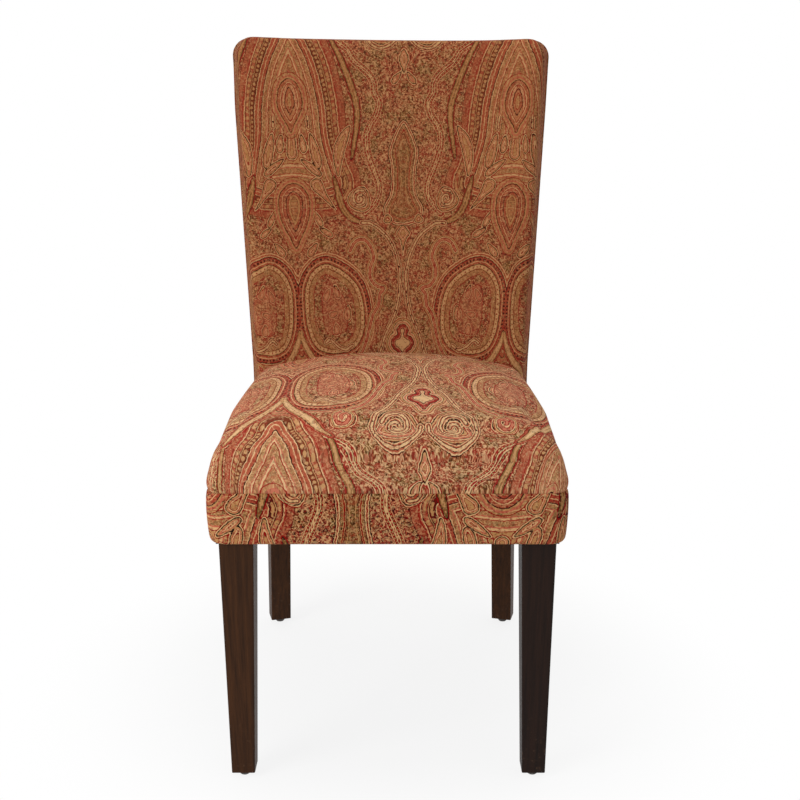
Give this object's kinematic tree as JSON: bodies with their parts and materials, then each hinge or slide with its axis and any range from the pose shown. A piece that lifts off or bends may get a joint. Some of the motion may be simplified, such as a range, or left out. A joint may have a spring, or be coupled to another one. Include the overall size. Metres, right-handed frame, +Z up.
{
  "type": "upholstered dining chair",
  "caption": "Upholstered dining chair: boxed and crowned seat, flared, curved and reclining back, dark tapered wooden legs on nail-on glides.",
  "frame": {"origin": "on the floor, midway between the front of the seat and the rear of the back, on the centre line", "axes": "+Z up, +Y from the seat's front to the back, +X to the right of someone who faces the chair"},
  "size_m": [0.52, 0.65, 0.9987],
  "materials": {
    "dark_wood": "dark brown stain under satin lacquer",
    "frame_wood": "bare sawn hardwood",
    "screw_steel": "zinc plated",
    "glide_plastic": "moulded, dark brown",
    "webbing": "elastic upholstery webbing",
    "foam": "cut polyurethane foam",
    "wadding": "polyester wadding",
    "cover_fabric": "woven paisley in rust, tan and olive",
    "dust_cloth": "thin spun cloth"
  },
  "bodies": {
    "root": {"front_leg_left": "dark_wood", "front_leg_right": "dark_wood", "rear_post_left": "dark_wood", "rear_post_right": "dark_wood", "front_rail": "frame_wood", "side_rail_left": "frame_wood", "side_rail_right": "frame_wood", "rear_rail": "frame_wood", "back_lower_rail": "frame_wood", "back_top_rail": "frame_wood", "corner_block_front_left": "frame_wood", "corner_block_front_right": "frame_wood", "corner_block_rear_left": "frame_wood", "corner_block_rear_right": "frame_wood", "corner_block_screws": "screw_steel", "seat_frame_dowels": "frame_wood", "back_frame_dowels": "frame_wood", "glide_front_left": "glide_plastic", "glide_front_right": "glide_plastic", "glide_rear_left": "glide_plastic", "glide_rear_right": "glide_plastic", "seat_webbing_lengthwise": "webbing", "seat_webbing_crosswise": "webbing", "back_webbing": "webbing", "back_foam": "foam", "seat_foam": "foam", "rail_padding_front": "wadding", "rail_padding_left": "wadding", "rail_padding_right": "wadding", "inside_back_cover": "cover_fabric", "outside_back_cover": "cover_fabric", "seat_border": "cover_fabric", "seat_cover": "cover_fabric", "dust_cover": "dust_cloth"}
  },
  "joints": []
}
